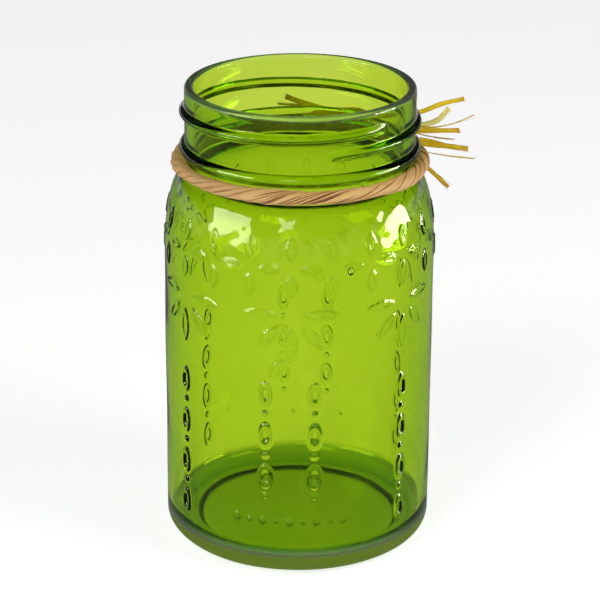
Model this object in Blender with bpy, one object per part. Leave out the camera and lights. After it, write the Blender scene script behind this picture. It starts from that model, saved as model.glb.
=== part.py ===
"""An open mason jar in green glass, with a twisted raffia tie knotted round its neck.

The jar stands on the ground plane with its axis on +Z, and its front faces -Y.
Lengths are in metres. Depths are measured down from the top of the rim.
"""

import math

import bmesh
import bpy
from mathutils import Matrix, Vector

# The jar's overall sizes
JAR_HEIGHT = 0.1695
BODY_DIAMETER = 0.098
BODY_WALL = 0.003

# Base: a flat ring that the jar stands on, round a shallow recess
HEEL_RADIUS = 0.007
BEARING_WIDTH = 0.0045
RECESS_HEIGHT = 0.0016
BASE_THICKNESS = 0.0045
INNER_HEEL_RADIUS = 0.006

# Screw finish: a plain lip, and one thread of a little over a turn
FINISH_DIAMETER = 0.0822
FINISH_WALL = 0.0033
LIP_ROUND = 0.0009
THREAD_RISE = 0.0019
THREAD_WIDTH = 0.0034
THREAD_PITCH = 0.00635
THREAD_START_DEPTH = 0.0069
THREAD_START_ANGLE = math.radians(-44)
THREAD_SWEEP = math.radians(392)
THREAD_FADE = math.radians(26)
THREAD_ROOT = 0.0009
THREAD_END_SINK = 0.00036

# Bead under the thread, and the groove under it that holds the tie
BEAD_RISE = 0.0019
BEAD_HEIGHT = 0.0044
BEAD_DEPTH = 0.0224
GROOVE_SINK = 0.0005
GROOVE_FILLET = 0.001
SHOULDER_HEIGHT = 0.0315

# Raffia tie: strands twisted into one rope round the groove
ROPE_DIAMETER = 0.0047
ROPE_PITCH = 0.037
STRANDS = 5
TIE_TO_BEAD = 0.0007
TIE_TO_GROOVE = 0.00035
TIE_TO_SHOULDER = 0.0003
GAP = 0.0003
KNOT_ANGLE = math.radians(52)
KNOT_LENGTH = 0.012
KNOT_SWELL = 0.00075

# Facets
ROUND_SEGMENTS = 48
ARC_STEPS = 5
SHOULDER_STEPS = 9
THREAD_STATIONS = 48
STATIONS_PER_TWIST = 12
WRAP_SIDES = 6
END_SIDES = 8
KNOT_SEGMENTS = 16
KNOT_STEPS = 8

# Heights and radii that several pieces share
BODY_RADIUS = BODY_DIAMETER / 2
FINISH_RADIUS = FINISH_DIAMETER / 2
MOUTH_RADIUS = FINISH_RADIUS - FINISH_WALL
BEAD_RADIUS = FINISH_RADIUS + BEAD_RISE
GROOVE_RADIUS = FINISH_RADIUS - GROOVE_SINK
ROPE_RADIUS = ROPE_DIAMETER / 2
BEAD_HEIGHT_UP = JAR_HEIGHT - BEAD_DEPTH
GROOVE_TOP = BEAD_HEIGHT_UP - BEAD_HEIGHT / 2
ROPE_HEIGHT = GROOVE_TOP - TIE_TO_BEAD - ROPE_RADIUS
LEDGE_HEIGHT = ROPE_HEIGHT - ROPE_RADIUS - TIE_TO_SHOULDER
SHOULDER_BOTTOM = LEDGE_HEIGHT - SHOULDER_HEIGHT
ROPE_RING_RADIUS = GROOVE_RADIUS + TIE_TO_GROOVE + ROPE_RADIUS

# The knot's centre, and its own directions: out from the jar, along the rope, and up
OUT = Vector((math.cos(KNOT_ANGLE), math.sin(KNOT_ANGLE), 0))
ALONG = Vector((math.sin(KNOT_ANGLE), -math.cos(KNOT_ANGLE), 0))
UP = Vector((0, 0, 1))
KNOT_RADIUS = ROPE_RADIUS + KNOT_SWELL
KNOT_CENTRE = OUT * (ROPE_RING_RADIUS + KNOT_SWELL) + UP * ROPE_HEIGHT

# Free ends of the strands. Each leaves the knot's side at a place along it and an angle
# round it, then follows points given in millimetres from ENDS_ORIGIN, which is straight out
# from the knot, level with the rope and over the side of the body.
ENDS_ORIGIN = OUT * BODY_RADIUS + UP * ROPE_HEIGHT
EXIT_STRAIGHT = 0.0022
END_POINTS_APART = 2.2
FREE_ENDS = (
    # name, diameter in mm, place along in mm, angle round in degrees,
    # points
    ("raffia_end_1", 1.6, -1.4, 60,
     ((5, 4.4, 3.8), (14, 5, 4.2), (22, 4.2, 7.6), (30.4, 1.4, 10.7))),
    ("raffia_end_2", 1.7, -2.9, 15,
     ((5, 7.4, -0.8), (14, 7.6, -1.6), (21, 9.6, -0.4), (25.6, 12.2, 3.6))),
    ("raffia_end_3", 0.9, 1.4, 60,
     ((7, -0.4, 2.4), (17, -0.5, 0.1), (26, -1.2, 1.7), (34, -2.4, 5.6))),
    ("raffia_end_4", 2.4, 0, 15,
     ((6, 3.6, -1.8), (14, 4.2, -2.7), (21, 5.2, -3), (29.4, 7.2, -3.5))),
    ("raffia_end_5", 0.9, 2.9, 15,
     ((6.5, -2.7, 0.2), (11, -5.4, -0.2), (17.5, -9.4, -0.6), (26, -16.7, 0.7))),
    ("raffia_end_6", 2.4, 1.4, -30,
     ((6, 0.1, -5.2), (15, -1.4, -5.3), (24, -3.6, -6.2), (32, -4.9, -6.8))),
    ("raffia_end_7", 0.9, 4.2, -30,
     ((8, -6, -5.8), (17, -9, -6.9), (26, -10.7, -7.9), (34, -11.4, -8.5))),
    ("raffia_end_8", 1.9, -1.4, -30,
     ((4, 4.3, -7.5), (10, 4.4, -11), (17.5, 2.4, -16.6), (25.3, -2.6, -22.5))),
    ("raffia_end_9", 2.4, -4.2, 60,
     ((-8, 6, 4.4), (-15, 9.2, 3.6), (-23.4, 10.9, 4.1), (-36, 11.9, 8.3))),
    ("raffia_end_10", 1.8, -5.3, 15,
     ((-5.5, 6.5, 0.6), (-12, 10.6, 0.8), (-24, 13.8, 3.2), (-39, 13.8, 4.9))),
)

MATERIALS = {
    # name: (base colour, roughness, transmission)
    "green_glass": ((0.36, 0.62, 0.02), 0.04, 1.0),
    "raffia": ((0.58, 0.36, 0.14), 0.75, 0.0),
    "raffia_golden": ((0.66, 0.46, 0.06), 0.7, 0.0),
    "raffia_pale": ((0.76, 0.64, 0.30), 0.75, 0.0),
}
PALE_ENDS = ("raffia_end_2", "raffia_end_10")


def clear_scene():
    for old in list(bpy.data.objects):
        bpy.data.objects.remove(old, do_unlink=True)


def make_material(name):
    colour, roughness, transmission = MATERIALS[name]
    material = bpy.data.materials.new(name)
    material.use_nodes = True
    shader = material.node_tree.nodes["Principled BSDF"]
    shader.inputs["Base Color"].default_value = (*colour, 1)
    shader.inputs["Roughness"].default_value = roughness
    shader.inputs["Metallic"].default_value = 0
    shader.inputs["Transmission Weight"].default_value = transmission
    shader.inputs["IOR"].default_value = 1.5
    material.diffuse_color = (*colour, 1)
    return material


def add_mesh(name, bm, material, smooth_angle=math.radians(35)):
    """A shaded object from a bmesh, with its faces turned outwards."""
    bmesh.ops.recalc_face_normals(bm, faces=bm.faces)
    mesh = bpy.data.meshes.new(name)
    bm.to_mesh(mesh)
    bm.free()
    mesh.shade_smooth()
    mesh.set_sharp_from_angle(angle=smooth_angle)
    mesh.materials.append(material)
    body = bpy.data.objects.new(name, mesh)
    bpy.context.scene.collection.objects.link(body)
    return body


def oval_arc(centre, across, tall, start, end, steps):
    """Points of an elliptical arc in (radius, height), angles in degrees from the radius axis."""
    turn = [math.radians(start + (end - start) * i / steps) for i in range(steps + 1)]
    return [(centre[0] + across * math.cos(a), centre[1] + tall * math.sin(a)) for a in turn]


def outer_outline():
    """From the middle of the base, under the jar and up its outside to the rim."""
    bearing_outer = BODY_RADIUS - HEEL_RADIUS
    bearing_inner = bearing_outer - BEARING_WIDTH
    heel = oval_arc((bearing_outer, HEEL_RADIUS), HEEL_RADIUS, HEEL_RADIUS, -90, 0, ARC_STEPS)
    shoulder = oval_arc(
        (GROOVE_RADIUS, SHOULDER_BOTTOM), BODY_RADIUS - GROOVE_RADIUS, SHOULDER_HEIGHT,
        0, 85, SHOULDER_STEPS,
    )
    fillet = oval_arc(
        (GROOVE_RADIUS + GROOVE_FILLET, LEDGE_HEIGHT + GROOVE_FILLET), GROOVE_FILLET, GROOVE_FILLET,
        -90, -180, 2,
    )
    bead = oval_arc(
        (GROOVE_RADIUS, BEAD_HEIGHT_UP), BEAD_RADIUS - GROOVE_RADIUS, BEAD_HEIGHT / 2,
        -90, 75, 2 * ARC_STEPS,
    )
    lip = oval_arc(
        (FINISH_RADIUS - LIP_ROUND, JAR_HEIGHT - LIP_ROUND), LIP_ROUND, LIP_ROUND, 0, 90, 3
    )
    return (
        [(0, RECESS_HEIGHT), (bearing_inner - RECESS_HEIGHT, RECESS_HEIGHT), (bearing_inner, 0)]
        + heel + shoulder + fillet + bead
        + [(FINISH_RADIUS, BEAD_HEIGHT_UP + BEAD_HEIGHT / 2)]
        + lip
    )


def inner_outline():
    """From the rim down the inside of the mouth and body to the middle of the floor."""
    inner_radius = BODY_RADIUS - BODY_WALL
    lip = oval_arc(
        (MOUTH_RADIUS + LIP_ROUND, JAR_HEIGHT - LIP_ROUND), LIP_ROUND, LIP_ROUND, 90, 180, 3
    )
    shoulder = oval_arc(
        (MOUTH_RADIUS, SHOULDER_BOTTOM), inner_radius - MOUTH_RADIUS,
        SHOULDER_HEIGHT - BODY_WALL, 90, 0, SHOULDER_STEPS,
    )
    heel = oval_arc(
        (inner_radius - INNER_HEEL_RADIUS, BASE_THICKNESS + RECESS_HEIGHT + INNER_HEEL_RADIUS),
        INNER_HEEL_RADIUS, INNER_HEEL_RADIUS, 0, -90, ARC_STEPS,
    )
    return lip + shoulder + heel + [(0, BASE_THICKNESS + RECESS_HEIGHT)]


def turned(outline):
    """A closed body of revolution about Z from a (radius, height) outline that starts and ends on it."""
    bm = bmesh.new()
    points = [bm.verts.new((radius, 0, height)) for radius, height in outline]
    edges = [bm.edges.new(pair) for pair in zip(points, points[1:])]
    bmesh.ops.spin(
        bm, geom=points + edges, cent=(0, 0, 0), axis=(0, 0, 1),
        angle=math.tau, steps=ROUND_SEGMENTS, use_merge=True,
    )
    bmesh.ops.remove_doubles(bm, verts=bm.verts, dist=1e-6)
    return bm


def thread_ridge():
    """The raised thread, which sinks into the wall at both of its ends."""
    bm = bmesh.new()
    root = FINISH_RADIUS - THREAD_ROOT
    loops = []
    for i in range(THREAD_STATIONS + 1):
        swept = THREAD_SWEEP * i / THREAD_STATIONS
        angle = THREAD_START_ANGLE - swept
        middle = JAR_HEIGHT - THREAD_START_DEPTH - THREAD_PITCH * swept / math.tau
        nearest_end = min(swept, THREAD_SWEEP - swept)
        rise = math.sin(math.pi / 2 * min(1, nearest_end / THREAD_FADE))
        crest = FINISH_RADIUS - THREAD_END_SINK + (THREAD_RISE + THREAD_END_SINK) * rise
        section = oval_arc((root, middle), crest - root, THREAD_WIDTH / 2, -90, 90, 6)
        loops.append(
            [bm.verts.new((r * math.cos(angle), r * math.sin(angle), z)) for r, z in section]
        )
    for before, after in zip(loops, loops[1:]):
        for j, corner in enumerate(before):
            k = (j + 1) % len(before)
            bm.faces.new((corner, before[k], after[k], after[j]))
    bm.faces.new(loops[0])
    bm.faces.new(reversed(loops[-1]))
    return bm


def make_jar(material):
    jar = add_mesh("glass_jar", turned(outer_outline() + inner_outline()), material)
    ridge = add_mesh("thread_cutter", thread_ridge(), material)
    ridge.hide_render = True
    ridge.display_type = "WIRE"
    joined = jar.modifiers.new("Thread", "BOOLEAN")
    joined.operation = "UNION"
    joined.solver = "EXACT"
    joined.object = ridge
    return jar


def tube(name, points, diameter, sides, material, parent):
    """A round strand through points, closed at both ends."""
    curve = bpy.data.curves.new(name, "CURVE")
    curve.dimensions = "3D"
    curve.bevel_depth = diameter / 2
    curve.bevel_resolution = sides // 2 - 2
    curve.use_fill_caps = True
    spline = curve.splines.new("POLY")
    spline.points.add(len(points) - 1)
    for place, point in zip(spline.points, points):
        place.co = (*point, 1)
    curve.materials.append(material)
    strand = bpy.data.objects.new(name, curve)
    strand.parent = parent
    bpy.context.scene.collection.objects.link(strand)
    return strand


def make_wraps(material, parent):
    """The rope's strands, each winding round its middle line from one side of the knot to the other."""
    strand_share = math.sin(math.pi / STRANDS)
    wind_radius = (ROPE_RADIUS + GAP / 2) / (1 + strand_share)
    strand_diameter = 2 * (wind_radius * strand_share - GAP / 2)
    slant = math.tau * wind_radius / ROPE_PITCH
    half_gap = (KNOT_LENGTH / 2 + GAP + slant * strand_diameter / 2) / ROPE_RING_RADIUS
    sweep = math.tau - 2 * half_gap
    twists = sweep * ROPE_RING_RADIUS / ROPE_PITCH
    stations = round(twists * STATIONS_PER_TWIST)
    for strand in range(STRANDS):
        points = []
        for i in range(stations + 1):
            angle = KNOT_ANGLE + half_gap + sweep * i / stations
            wind = math.tau * (strand / STRANDS + twists * i / stations)
            radius = ROPE_RING_RADIUS + wind_radius * math.cos(wind)
            height = ROPE_HEIGHT + wind_radius * math.sin(wind)
            points.append((radius * math.cos(angle), radius * math.sin(angle), height))
        tube(f"raffia_wrap_{strand + 1}", points, strand_diameter, WRAP_SIDES, material, parent)


def make_knot(material, parent):
    """A barrel along the rope with flat ends, which the strands meet."""
    outline = [(0, -KNOT_LENGTH / 2)]
    for i in range(KNOT_STEPS + 1):
        share = i / KNOT_STEPS
        swollen = ROPE_RADIUS + KNOT_SWELL * math.sin(math.pi * share)
        outline.append((swollen, KNOT_LENGTH * (share - 0.5)))
    outline.append((0, KNOT_LENGTH / 2))
    bm = bmesh.new()
    points = [bm.verts.new((radius, 0, height)) for radius, height in outline]
    edges = [bm.edges.new(pair) for pair in zip(points, points[1:])]
    bmesh.ops.spin(
        bm, geom=points + edges, cent=(0, 0, 0), axis=(0, 0, 1), angle=math.tau,
        steps=KNOT_SEGMENTS, use_merge=True,
    )
    bmesh.ops.remove_doubles(bm, verts=bm.verts, dist=1e-6)
    turn = Matrix((OUT, UP, ALONG)).transposed().to_4x4()
    bmesh.ops.transform(bm, matrix=Matrix.Translation(KNOT_CENTRE) @ turn, verts=bm.verts)
    knot = add_mesh("raffia_knot", bm, material)
    knot.parent = parent


def smooth_route(points, step):
    """Points about a step apart on a smooth curve through the given ones."""
    padded = [2 * points[0] - points[1], *points, 2 * points[-1] - points[-2]]
    route = [points[0]]
    for a, b, c, d in zip(padded, padded[1:], padded[2:], padded[3:]):
        parts = max(1, round((c - b).length / step))
        for i in range(1, parts + 1):
            t = i / parts
            route.append(
                0.5 * (
                    2 * b + (c - a) * t
                    + (2 * a - 5 * b + 4 * c - d) * t**2
                    + (3 * b - a - 3 * c + d) * t**3
                )
            )
    return route


def make_free_ends(materials, parent):
    for name, diameter_mm, along_mm, angle, points_mm in FREE_ENDS:
        diameter = diameter_mm / 1000
        lean = math.radians(angle)
        way = OUT * math.cos(lean) + UP * math.sin(lean)
        start = KNOT_CENTRE + ALONG * along_mm / 1000 + way * (KNOT_RADIUS + GAP)
        points = [start, start + way * EXIT_STRAIGHT]
        points += [ENDS_ORIGIN + Vector(point) / 1000 for point in points_mm]
        route = smooth_route(points, END_POINTS_APART * diameter)
        material = materials["raffia_pale" if name in PALE_ENDS else "raffia_golden"]
        tube(name, route, diameter, END_SIDES, material, parent)


def main():
    clear_scene()
    materials = {name: make_material(name) for name in MATERIALS}
    make_jar(materials["green_glass"])
    tie = bpy.data.objects.new("tie_turn_axis", None)
    tie.empty_display_size = GROOVE_RADIUS
    bpy.context.scene.collection.objects.link(tie)
    make_wraps(materials["raffia"], tie)
    make_knot(materials["raffia"], tie)
    make_free_ends(materials, tie)


main()
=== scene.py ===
# A green glass mason jar with a twisted raffia tie, in a pale studio.
# All lengths are in metres unless a name or note says millimetres.
import math

import bpy
import numpy as np
from mathutils import Matrix, Vector


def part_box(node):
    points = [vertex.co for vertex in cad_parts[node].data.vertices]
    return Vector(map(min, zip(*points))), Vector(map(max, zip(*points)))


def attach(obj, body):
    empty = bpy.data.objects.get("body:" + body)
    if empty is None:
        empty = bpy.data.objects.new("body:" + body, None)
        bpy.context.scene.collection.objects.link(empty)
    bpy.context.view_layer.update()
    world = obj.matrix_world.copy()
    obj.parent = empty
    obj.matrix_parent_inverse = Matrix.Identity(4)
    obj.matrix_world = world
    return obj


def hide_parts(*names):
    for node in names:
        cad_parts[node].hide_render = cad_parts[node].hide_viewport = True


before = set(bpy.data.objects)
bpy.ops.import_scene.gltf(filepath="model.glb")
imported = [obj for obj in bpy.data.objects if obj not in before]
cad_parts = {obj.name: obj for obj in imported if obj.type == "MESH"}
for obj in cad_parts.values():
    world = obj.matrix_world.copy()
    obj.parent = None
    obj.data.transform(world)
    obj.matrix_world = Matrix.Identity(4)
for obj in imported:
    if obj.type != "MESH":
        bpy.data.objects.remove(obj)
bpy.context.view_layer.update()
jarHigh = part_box("glass_jar")[1]
jarHeight = jarHigh.z
bodyRadius = jarHigh.x
mm = 0.001
print("frame loaded, jar", round(jarHeight / mm, 1), "mm tall")


def linear(red, green, blue):
    # a screen colour as the light values that shaders use
    out = []
    for part in (red, green, blue):
        share = part / 255
        out.append(share / 12.92 if share <= 0.04045 else ((share + 0.055) / 1.055) ** 2.4)
    return tuple(out)


def smoothStep(low, high, value):
    share = np.clip((value - low) / (high - low), 0, 1)
    return share * share * (3 - 2 * share)


def unit(vector):
    return vector / np.maximum(np.linalg.norm(vector, axis=-1, keepdims=True), 1e-12)


def smoothRoute(points, step):
    # points about a step apart on a smooth curve through the given ones
    points = [np.array(point, float) for point in points]
    padded = [2 * points[0] - points[1], *points, 2 * points[-1] - points[-2]]
    route = [points[0]]
    for a, b, c, d in zip(padded, padded[1:], padded[2:], padded[3:]):
        parts = max(1, round(float(np.linalg.norm(c - b)) / step))
        for i in range(1, parts + 1):
            t = i / parts
            route.append(0.5 * (
                2 * b + (c - a) * t + (2 * a - 5 * b + 4 * c - d) * t**2
                + (3 * b - a - 3 * c + d) * t**3
            ))
    return np.array(route)


def randomWave(along, slowest, fastest, rng):
    return np.sin(along * rng.uniform(slowest, fastest) + rng.uniform(0, 6))


def distanceAlong(route):
    return np.concatenate([[0], np.cumsum(np.linalg.norm(np.diff(route, axis=0), axis=1))])


def addObject(name, data):
    thing = bpy.data.objects.new(name, data)
    bpy.context.scene.collection.objects.link(thing)
    return thing


def newMaterial(name):
    material = bpy.data.materials.new(name)
    material.use_nodes = True
    tree = material.node_tree
    return material, tree.nodes, tree.links, tree.nodes["Principled BSDF"]


def setInputs(node, values):
    for socket, value in values.items():
        node.inputs[socket].default_value = value


def meshObject(name, verts, faces, material, shares, uvs=None, sharp=None):
    # faces is a list of arrays, one row for each face; shares hold one value for each point
    mesh = bpy.data.meshes.new(name)
    mesh.from_pydata(verts.tolist(), [], [row for block in faces for row in block.tolist()])
    mesh.materials.append(material)
    if uvs is not None:
        layer = mesh.uv_layers.new(name="fibre")
        corners = np.zeros(len(mesh.loops), np.int32)
        mesh.loops.foreach_get("vertex_index", corners)
        layer.data.foreach_set("uv", uvs[corners].astype(np.float32).ravel())
    for shareName, share in shares.items():
        attribute = mesh.attributes.new(shareName, "FLOAT", "POINT")
        attribute.data.foreach_set("value", share.astype(np.float32))
    mesh.shade_smooth()
    if sharp is not None:
        mesh.set_sharp_from_angle(angle=math.radians(sharp))
    return addObject(name, mesh)


class Strands:
    # gathers several swept strands into one mesh
    def __init__(self):
        self.verts, self.faces, self.uvs, self.tint, self.count = [], [], [], [], 0

    def add(self, rings, across, along, paintedShadeAndTip):
        # rings is stations by points round by xyz
        stations, around = rings.shape[:2]
        index = self.count + np.arange(stations * around).reshape(stations, around)
        nextRound = np.roll(index, -1, axis=1)
        quads = np.stack([index[:-1], nextRound[:-1], nextRound[1:], index[1:]], axis=-1)
        self.faces.append(quads.reshape(-1, 4))
        self.verts.append(rings.reshape(-1, 3))
        uv = np.stack(np.broadcast_arrays(across / mm, along[:, None] / mm), axis=-1)
        self.uvs.append(uv.reshape(-1, 2))
        # each point's share of painted shade, which also holds the loose ends' darker tips
        self.tint.append(np.broadcast_to(paintedShadeAndTip, (stations, around)).reshape(-1))
        self.count += stations * around
        for end, turn in ((0, -1), (-1, 1)):
            # a fan closes each end
            self.verts.append(rings[end].mean(axis=0)[None])
            self.uvs.append(np.array([[0, along[end] / mm]]))
            # each cap gets a middling share of the painted darkening
            self.tint.append(np.array([0.6]))
            fan = [index[end], np.roll(index[end], -1), np.full(around, self.count)]
            self.faces.append(np.stack(fan[::turn], axis=-1))
            self.count += 1

    def build(self, name, material, sharp=50):
        return meshObject(
            name, np.concatenate(self.verts), self.faces, material,
            {"paintedShadeAndTip": np.concatenate(self.tint)}, np.concatenate(self.uvs), sharp,
        )


cameraValues = {
    "distance": 0.9,      # from the point it looks at
    "elevation": 21.4,    # degrees above the horizon
    "lookHeight": 0.0873,
    "lens": 148.15,       # for a sensor 36 mm wide
    "sensor": 36,
    "roll": 0.43,         # degrees, the jar's top leans to the right
    "shift": (0.0018, 0.0017),
    "clip": (0.01, 20),
}


def makeCamera(values):
    camera = bpy.data.cameras.new("studioCamera")
    camera.lens = values["lens"]
    camera.sensor_width = values["sensor"]
    camera.shift_x, camera.shift_y = values["shift"]
    camera.clip_start, camera.clip_end = values["clip"]
    holder = addObject("studioCamera", camera)
    tilt = math.radians(values["elevation"])
    back = Vector((0, -math.cos(tilt), math.sin(tilt)))
    holder.location = Vector((0, 0, values["lookHeight"])) + back * values["distance"]
    aim = (-back).to_track_quat("-Z", "Y").to_matrix()
    turn = Matrix.Rotation(math.radians(values["roll"]), 3, "Z")
    holder.rotation_euler = (aim @ turn).to_euler()
    bpy.context.scene.camera = holder


makeCamera(cameraValues)
print("camera placed")


raffiaLook = {
    "roughness": 0.62,
    "shine": 0.35,
    "streakScale": (5.5, 0.16, 1),      # across and along the fibre, for each millimetre
    "streakRoughness": 0.62,            # of the noise, not of the surface
    "patchScale": (0.25, 0.06, 1),
    "tones": (0.28, 0.46, 0.74),        # where the streaks turn from dark to main to pale
    "darkShare": 0.4,                   # of the dark colour, which is also the painted crease shade, in the darkest streaks
    "washShare": 0.45,                  # how strongly the patches are coloured
    "relief": 0.5,
    "reliefDepth": 0.12 * mm,
}

raffiaColours = {
    # name: (main, pale, dark) as screen colours; the dark one is painted in as shade in creases,
    # folds and undersides, darkens the loose ends' tips, and tints the darkest streaks
    "raffia": ((222, 180, 112), (240, 208, 148), (112, 62, 14)),
    "raffia_golden": ((240, 204, 30), (250, 230, 96), (170, 108, 4)),
    "raffia_pale": ((242, 232, 150), (250, 244, 190), (190, 164, 70)),
}


def raffiaMaterial(name, colours, look):
    material, nodes, links, shader = newMaterial(name)
    setInputs(shader, {"Roughness": look["roughness"], "Specular IOR Level": look["shine"]})
    place = nodes.new("ShaderNodeUVMap")
    place.uv_map = "fibre"

    def stretchedNoise(scale, detail):
        stretch = nodes.new("ShaderNodeMapping")
        setInputs(stretch, {"Scale": scale})
        links.new(place.outputs["UV"], stretch.inputs["Vector"])
        noise = nodes.new("ShaderNodeTexNoise")
        setInputs(noise, {"Scale": 1, "Detail": detail})
        links.new(stretch.outputs["Vector"], noise.inputs["Vector"])
        return noise

    streaks = stretchedNoise(look["streakScale"], 4)
    setInputs(streaks, {"Roughness": look["streakRoughness"]})
    patches = stretchedNoise(look["patchScale"], 2)
    ramp = nodes.new("ShaderNodeValToRGB")
    main, pale, dark = (linear(*colour) for colour in colours)
    low, high = ramp.color_ramp.elements
    low.position, high.position = look["tones"][0], look["tones"][2]
    share = look["darkShare"]
    low.color = (*[a * (1 - share) + b * share for a, b in zip(main, dark)], 1)
    high.color = (*pale, 1)
    middle = ramp.color_ramp.elements.new(look["tones"][1])
    middle.color = (*main, 1)
    links.new(streaks.outputs["Fac"], ramp.inputs["Fac"])
    wash = nodes.new("ShaderNodeMixRGB")
    wash.blend_type = "MULTIPLY"
    share = look["washShare"]
    setInputs(wash, {"Color2": (*[1 - share + share * a for a in main], 1)})
    links.new(patches.outputs["Fac"], wash.inputs["Fac"])
    links.new(ramp.outputs["Color"], wash.inputs["Color1"])
    # painted shade: a share stored on each point mixes in the dark colour, as shade in creases,
    # folds, grooves and undersides, and as the darker tips of the loose ends
    paintedShadeAndTip = nodes.new("ShaderNodeAttribute")
    paintedShadeAndTip.attribute_name = "paintedShadeAndTip"
    darken = nodes.new("ShaderNodeMixRGB")
    setInputs(darken, {"Color2": (*dark, 1)})
    links.new(paintedShadeAndTip.outputs["Fac"], darken.inputs["Fac"])
    links.new(wash.outputs["Color"], darken.inputs["Color1"])
    links.new(darken.outputs["Color"], shader.inputs["Base Color"])
    relief = nodes.new("ShaderNodeBump")
    setInputs(relief, {"Strength": look["relief"], "Distance": look["reliefDepth"]})
    links.new(streaks.outputs["Fac"], relief.inputs["Height"])
    links.new(relief.outputs["Normal"], shader.inputs["Normal"])
    return material


raffia = {
    name: raffiaMaterial(name, colours, raffiaLook) for name, colours in raffiaColours.items()
}


# the knot's middle, and the ways out from it, along it and up
knotLow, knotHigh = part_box("raffia_knot")
knotMiddle = np.array((knotLow + knotHigh) / 2)
knotAngle = math.radians(52)
outWay = np.array([math.cos(knotAngle), math.sin(knotAngle), 0])
alongWay = np.array([math.sin(knotAngle), -math.cos(knotAngle), 0])
upWay = np.array([0, 0, 1.0])

endValues = {
    "knotRadius": 3.1 * mm,
    "clear": 0.3 * mm,
    "straight": 2.2 * mm,           # each end leaves the knot straight for this far
    "step": 0.7 * mm,
    "thick": 0.28,                  # of the width, and no less than the next value
    "leastThick": 0.35 * mm,
    "fold": 0.10,
    "facing": (0.15, -0.9, 0.45),   # where the flat faces look before they turn
    "pale": ("raffia_end_2", "raffia_end_10"),
    # in millimetres and degrees: name, width, place along the knot and angle round it, then the
    # route's points from over the body's side, then the flat face's turn and the share of the
    # width at both ends, and the number of loose fibres
    "ends": (
        ("raffia_end_1", 1.6, -1.4, 60,
         ((5, 4.4, 3.8), (14, 5, 4.2), (22, 4.2, 7.6), (30.4, 1.4, 10.7)),
         (0, 12), (1.25, 1.1), 3),
        ("raffia_end_2", 1.7, -2.9, 15,
         ((5, 7.4, -0.8), (14, 7.6, -1.6), (21, 9.6, -0.4), (25.6, 12.2, 3.6)),
         (10, -25), (1.1, 1.25), 2),
        ("raffia_end_3", 0.9, 1.4, 60,
         ((7, -0.4, 2.4), (17, -0.5, 0.1), (26, -1.2, 1.7), (34, -2.4, 5.6)),
         (10, 60), (1.1, 0.5), 1),
        ("raffia_end_4", 2.4, 0, 15,
         ((6, 3.6, -1.8), (14, 4.2, -2.7), (21, 5.2, -3), (29.4, 7.2, -3.5)),
         (0, 10), (1.15, 1.15), 3),
        ("raffia_end_5", 0.9, 2.9, 15,
         ((6.5, -2.7, 0.2), (11, -5.4, -0.2), (17.5, -9.4, -0.6), (26, -16.7, 0.7)),
         (0, 50), (1.0, 1.0), 1),
        ("raffia_end_6", 2.4, 1.4, -30,
         ((6, 0.1, -5.2), (15, -1.4, -5.3), (24, -3.6, -6.2), (32, -4.9, -6.8)),
         (-10, 15), (1.6, 0.75), 6),
        ("raffia_end_7", 0.9, 4.2, -30,
         ((8, -6, -5.8), (17, -9, -6.9), (26, -10.7, -7.9), (34, -11.4, -8.5)),
         (0, 60), (1.0, 0.45), 1),
        ("raffia_end_8", 1.9, -1.4, -30,
         ((4, 4.3, -7.5), (10, 4.4, -11), (17.5, 2.4, -16.6), (25.3, -2.6, -22.5)),
         (0, 15), (1.1, 1.05), 3),
        ("raffia_end_9", 2.4, -4.2, 60,
         ((-8, 6, 4.4), (-15, 9.2, 3.6), (-23.4, 10.9, 4.1), (-36, 11.9, 8.3)),
         (60, 55), (1.1, 0.9), 3),
        ("raffia_end_10", 1.8, -5.3, 15,
         ((-5.5, 6.5, 0.6), (-12, 10.6, 0.8), (-24, 13.8, 3.2), (-39, 13.8, 4.9)),
         (55, 60), (1.0, 0.9), 2),
    ),
}


def placed(middle, u, v, uWay, vWay):
    # points that lie u along one way and v along another from their middle
    return middle + u[..., None] * uWay + v[..., None] * vWay


def alignedFrames(route, face):
    # side and face directions along a route, turned as little as may be from the given face
    tangents = unit(np.gradient(route, axis=0))
    faces = []
    current = np.array(face, float)
    for tangent in tangents:
        current = current - tangent * current.dot(tangent)
        current = current / np.linalg.norm(current)
        faces.append(current)
    faces = np.array(faces)
    return tangents, np.cross(tangents, faces), faces


def stripOutline(half=9):
    # places from -1 to 1 over the top of a flat strip and back under it, and the rounded rise
    x = np.cos(np.linspace(math.pi, 0, half))
    across = np.concatenate([x, x[::-1][1:-1]])
    isTop = np.concatenate([np.ones(half), -np.ones(half - 2)])
    return across, np.sqrt(np.clip(1 - across**2, 0, 1)) * isTop


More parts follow.
